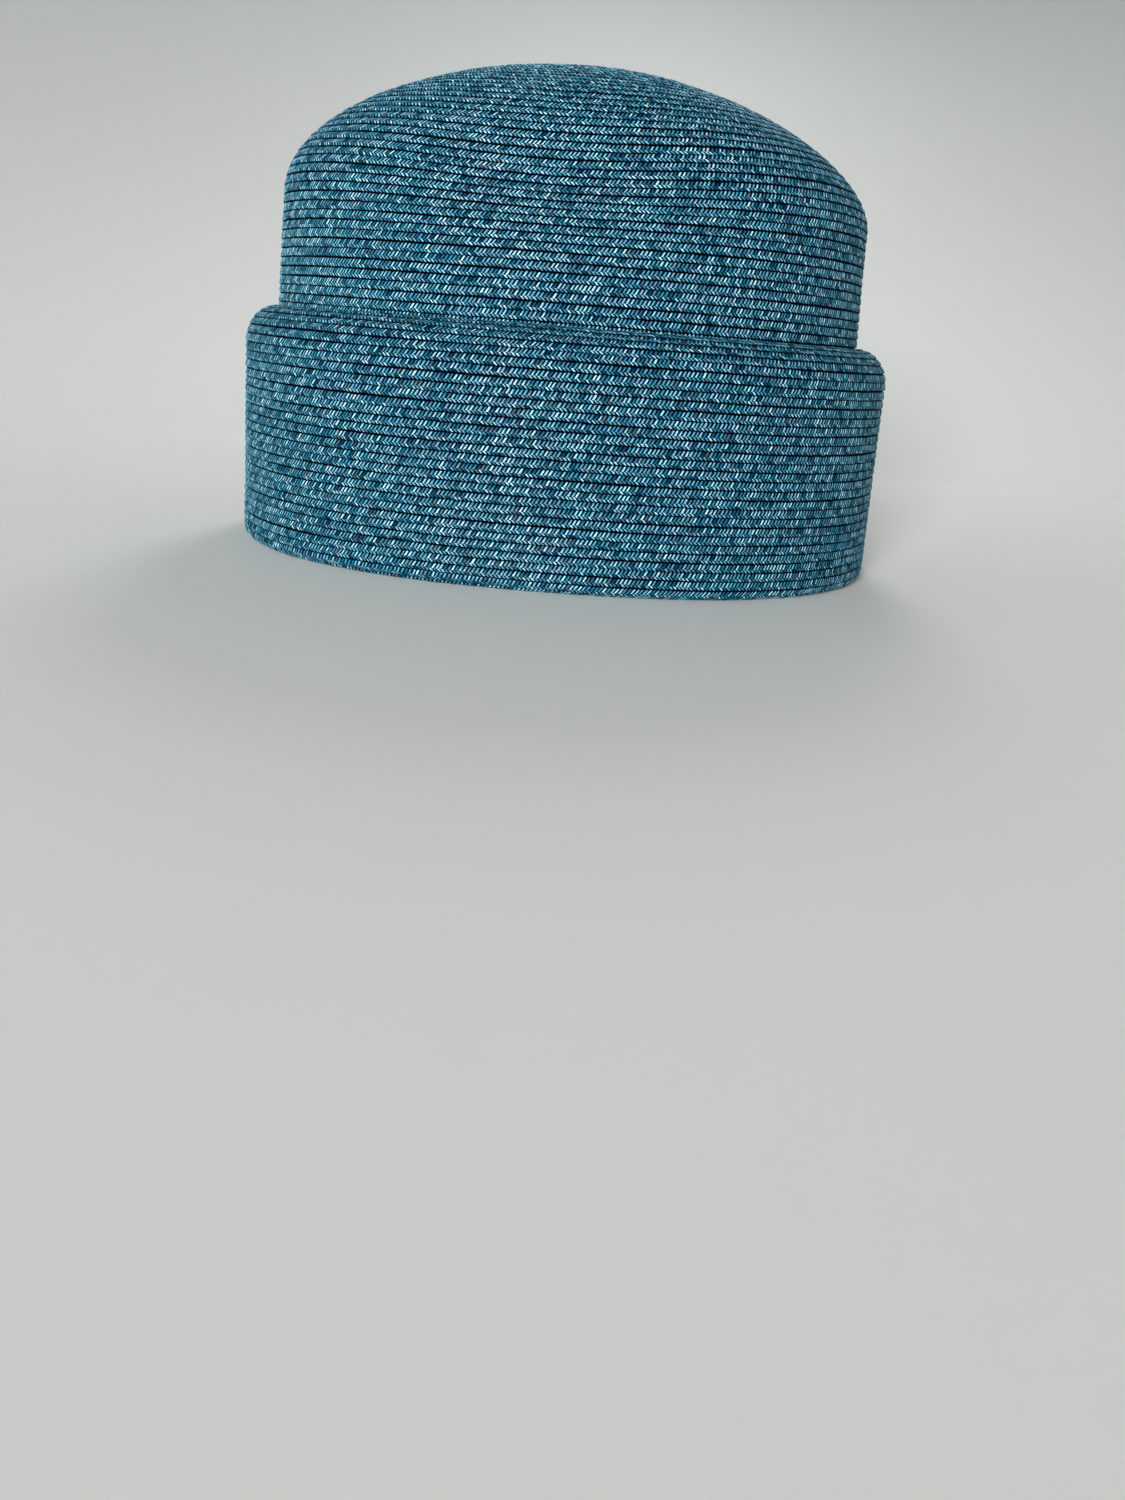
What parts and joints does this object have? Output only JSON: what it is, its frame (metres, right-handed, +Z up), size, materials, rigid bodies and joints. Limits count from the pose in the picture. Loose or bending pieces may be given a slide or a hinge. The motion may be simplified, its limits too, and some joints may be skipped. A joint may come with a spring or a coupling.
{
  "type": "brimless straw-braid hat with a deep cuff",
  "caption": "Tall domed crown inside a deep stand-up cuff, both sewn from narrow teal straw braid; open below for the head.",
  "frame": {"origin": "centre of the flat lower edge that the hat rests on", "axes": "+Z up through the crown; the front of the hat faces -X and the wearer's left side faces -Y"},
  "size_m": [0.2422, 0.1924, 0.1648],
  "materials": {
    "crown_straw": "teal sewn straw braid, satin strands",
    "cuff_straw": "teal sewn straw braid, satin strands"
  },
  "bodies": {
    "root": {"crown": "crown_straw", "cuff": "cuff_straw"}
  },
  "joints": []
}
